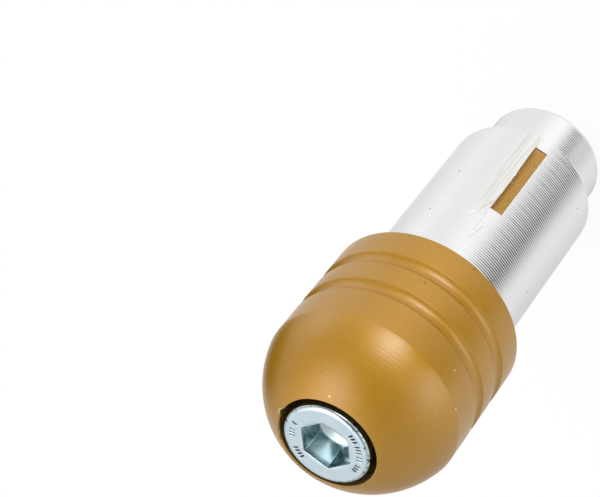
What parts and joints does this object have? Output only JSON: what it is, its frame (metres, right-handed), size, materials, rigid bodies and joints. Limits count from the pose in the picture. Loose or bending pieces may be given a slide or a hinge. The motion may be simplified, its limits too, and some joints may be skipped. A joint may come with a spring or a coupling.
{
  "type": "bar end weight",
  "caption": "Domed, anodised bar end weight with a slotted expanding sleeve, a taper nut and a hex socket screw, for the open end of a tubular handlebar.",
  "frame": {"origin": "on the axis, in the plane of the shoulder that meets the end of the handlebar", "axes": "+Z along the axis towards the dome and the screw's head; -Y towards one of the sleeve's two slots"},
  "size_m": [0.0224, 0.0224, 0.0552],
  "materials": {
    "gold_anodised": "fine blasted and gold anodised",
    "turned_aluminium": "bare, with fine turning marks",
    "turned_nose": "bare, with fine turning marks",
    "zinc_plated": "bright zinc plated"
  },
  "bodies": {
    "weight": {"end_weight": "gold_anodised", "sleeve": "turned_aluminium"},
    "screw": {"socket_screw": "zinc_plated"},
    "nut": {"taper_nut": "turned_nose"}
  },
  "joints": [
    {"name": "screw_turn", "type": "hinge", "parent": "weight", "child": "screw", "pos_m": [0, 0, 0], "axis": [0, 0, 1], "range_deg": [0, 1440]},
    {"name": "nut_draw", "type": "slide", "parent": "weight", "child": "nut", "axis": [0, 0, -1], "range_m": [0, 0.004]}
  ],
  "couplings": [
    {"joint": "nut_draw", "follows": "screw_turn", "m_per_rad": 0.00015915}
  ]
}
